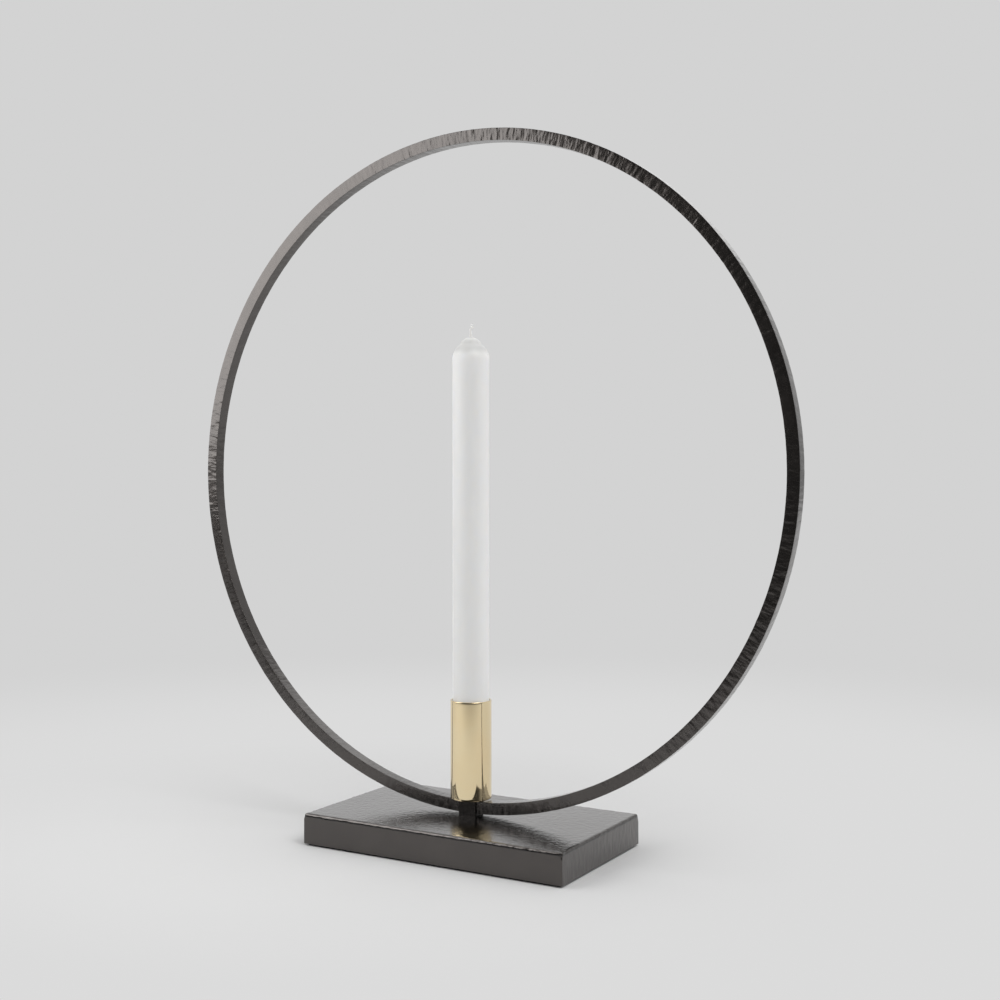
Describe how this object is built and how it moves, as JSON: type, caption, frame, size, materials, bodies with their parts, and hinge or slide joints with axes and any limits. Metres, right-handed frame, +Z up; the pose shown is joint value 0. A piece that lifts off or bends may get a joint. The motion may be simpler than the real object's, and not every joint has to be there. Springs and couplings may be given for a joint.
{
  "type": "candle ring",
  "caption": "Upright metal hoop on a rectangular foot, with a slim brass cup at the bottom of the hoop that holds a dinner candle.",
  "frame": {"origin": "on the surface that the foot stands on, under the middle of the hoop", "axes": "+Z up, +X along the long side of the foot and across the hoop, -Y towards the front"},
  "size_m": [0.4, 0.0984, 0.42],
  "materials": {
    "black_nickel": "rough-cast aluminium, plated glossy black nickel",
    "felt": "black felt",
    "pale_brass": "polished and lacquered",
    "zinc_steel": "bright zinc",
    "white_wax": "smooth white wax",
    "waxed_cotton": "braided cotton dipped in wax"
  },
  "bodies": {
    "stand": {"foot_block": "black_nickel", "felt_pad": "felt", "hoop": "black_nickel", "saddle": "black_nickel", "cup_tube": "pale_brass", "cup_plug": "pale_brass", "fixing_screw": "zinc_steel", "washer": "zinc_steel"},
    "candle": {"candle_wax": "white_wax", "candle_wick": "waxed_cotton"}
  },
  "joints": [
    {"name": "candle_lift", "type": "slide", "parent": "stand", "child": "candle", "axis": [0, 0, 1], "range_m": [0, 0.045]}
  ]
}
